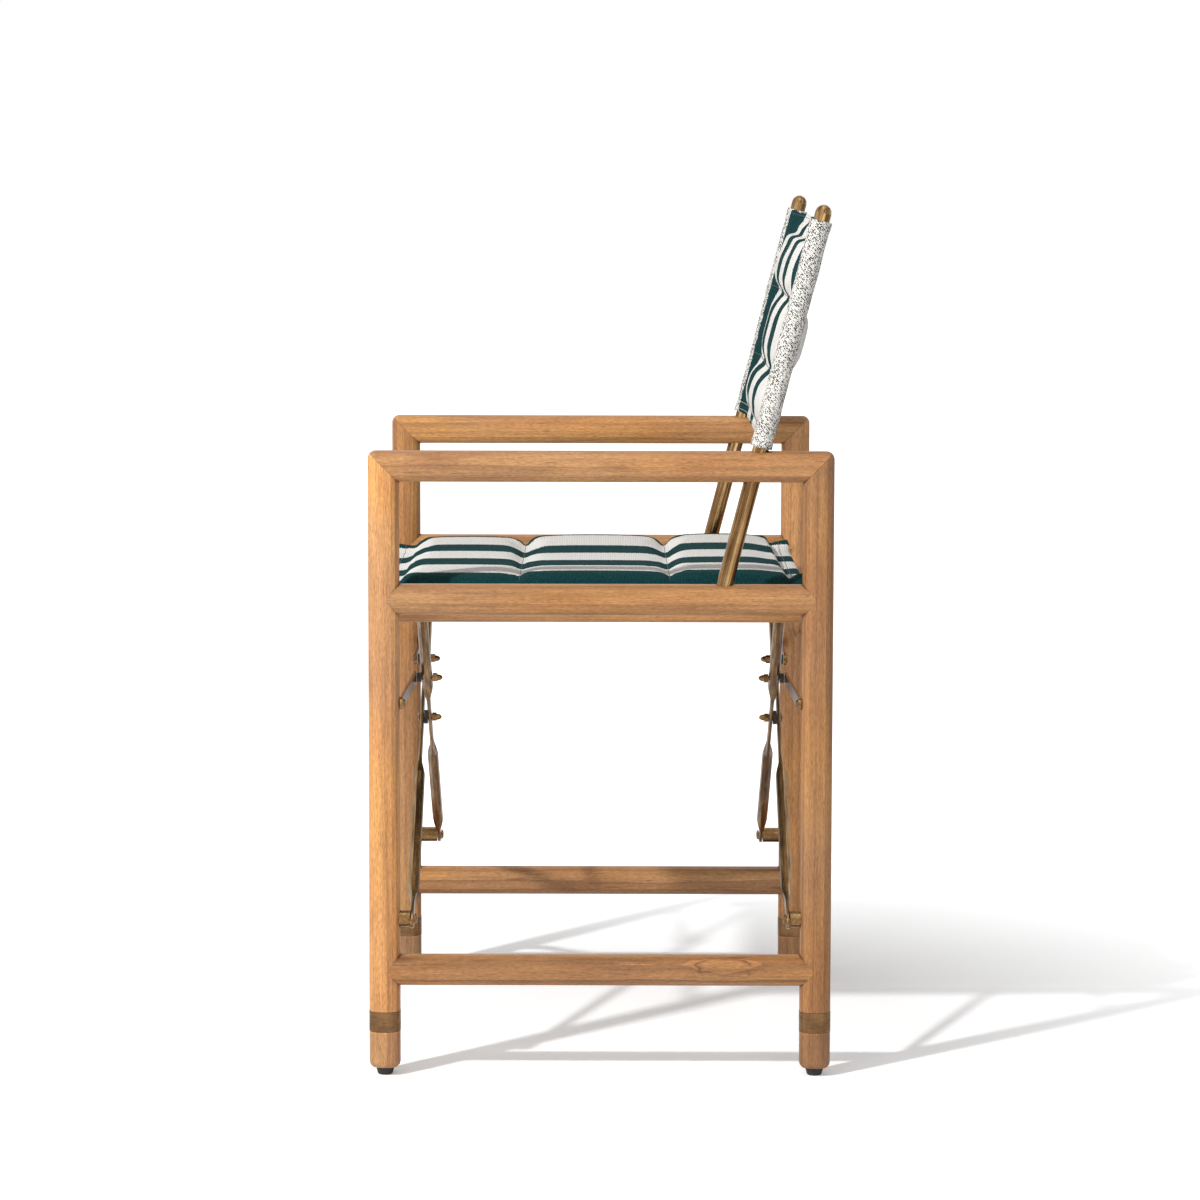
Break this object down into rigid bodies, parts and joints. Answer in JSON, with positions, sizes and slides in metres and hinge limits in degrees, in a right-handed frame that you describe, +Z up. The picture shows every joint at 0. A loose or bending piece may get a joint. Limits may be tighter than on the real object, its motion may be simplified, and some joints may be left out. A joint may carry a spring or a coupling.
{
  "type": "folding directors chair",
  "caption": "Folding directors chair: wooden side frames with armrests, brass scissor bars and posts, padded striped sling seat and back.",
  "frame": {"origin": "on the floor, under the middle of the open chair's outline", "axes": "+Z up; -Y is the way the sitter faces; +X is the sitter's left, across the chair, the way it folds"},
  "size_m": [0.5626, 0.4796, 0.9029],
  "materials": {
    "teak": "oiled, satin",
    "aged_brass": "aged",
    "bronze_band": "dark aged",
    "black_rubber": "matte",
    "black_nylon": "matte",
    "striped_cloth": "woven, striped, padded",
    "flecked_cloth": "woven, flecked"
  },
  "bodies": {
    "left_frame": {"left_front_leg": "teak", "left_front_band": "bronze_band", "left_front_glide": "black_rubber", "left_front_standoff": "aged_brass", "left_front_pivot_bolt": "aged_brass", "left_front_strap_leg_bolt": "aged_brass", "left_rear_leg": "teak", "left_rear_band": "bronze_band", "left_rear_glide": "black_rubber", "left_rear_standoff": "aged_brass", "left_rear_pivot_bolt": "aged_brass", "left_rear_strap_leg_bolt": "aged_brass", "left_armrest": "teak", "left_side_rail": "teak", "left_stretcher": "teak", "left_back_post": "aged_brass", "left_back_sleeve": "flecked_cloth", "back_pad": "striped_cloth"},
    "left_scissor": {"front_bar_from_left": "aged_brass", "right_front_strap_bar_bolt": "aged_brass", "right_front_strap_washer": "black_nylon", "rear_bar_from_left": "aged_brass", "right_rear_strap_bar_bolt": "aged_brass", "right_rear_strap_washer": "black_nylon", "right_seat_rail": "teak", "front_crossing_bolt": "aged_brass", "rear_crossing_bolt": "aged_brass", "front_crossing_washer": "black_nylon", "rear_crossing_washer": "black_nylon", "seat_pad": "striped_cloth"},
    "right_scissor": {"front_bar_from_right": "aged_brass", "left_front_strap_bar_bolt": "aged_brass", "left_front_strap_washer": "black_nylon", "rear_bar_from_right": "aged_brass", "left_rear_strap_bar_bolt": "aged_brass", "left_rear_strap_washer": "black_nylon", "left_seat_rail": "teak"},
    "right_frame": {"right_front_leg": "teak", "right_front_band": "bronze_band", "right_front_glide": "black_rubber", "right_front_standoff": "aged_brass", "right_front_pivot_bolt": "aged_brass", "right_front_strap_leg_bolt": "aged_brass", "right_rear_leg": "teak", "right_rear_band": "bronze_band", "right_rear_glide": "black_rubber", "right_rear_standoff": "aged_brass", "right_rear_pivot_bolt": "aged_brass", "right_rear_strap_leg_bolt": "aged_brass", "right_armrest": "teak", "right_side_rail": "teak", "right_stretcher": "teak", "right_back_post": "aged_brass", "right_back_sleeve": "flecked_cloth"},
    "left_straps": {"left_front_strap": "aged_brass", "left_rear_strap": "aged_brass"},
    "right_straps": {"right_front_strap": "aged_brass", "right_rear_strap": "aged_brass"}
  },
  "joints": [
    {"name": "fold", "type": "hinge", "parent": "left_frame", "child": "left_scissor", "pos_m": [0.265, 0, 0.164], "axis": [0, 1, 0], "range_deg": [0, 38.65], "deforming": ["seat_pad", "back_pad"]},
    {"name": "cross", "type": "hinge", "parent": "left_scissor", "child": "right_scissor", "pos_m": [0, 0, 0.3384], "axis": [0, 1, 0], "range_deg": [-77.3, 0]},
    {"name": "right_foot", "type": "hinge", "parent": "right_scissor", "child": "right_frame", "pos_m": [-0.265, 0, 0.164], "axis": [0, 1, 0], "range_deg": [0, 38.65]},
    {"name": "left_straps_swing", "type": "hinge", "parent": "left_frame", "child": "left_straps", "pos_m": [0.265, 0, 0.38961], "axis": [0, 1, 0], "range_deg": [0, 67.37]},
    {"name": "right_straps_swing", "type": "hinge", "parent": "right_frame", "child": "right_straps", "pos_m": [-0.265, 0, 0.38961], "axis": [0, 1, 0], "range_deg": [-67.37, 0]}
  ],
  "couplings": [
    {"joint": "cross", "follows": "fold", "ratio": -2},
    {"joint": "right_foot", "follows": "fold", "ratio": 1},
    {"joint": "left_straps_swing", "follows": "fold", "ratio": 1.743},
    {"joint": "right_straps_swing", "follows": "fold", "ratio": -1.743}
  ]
}
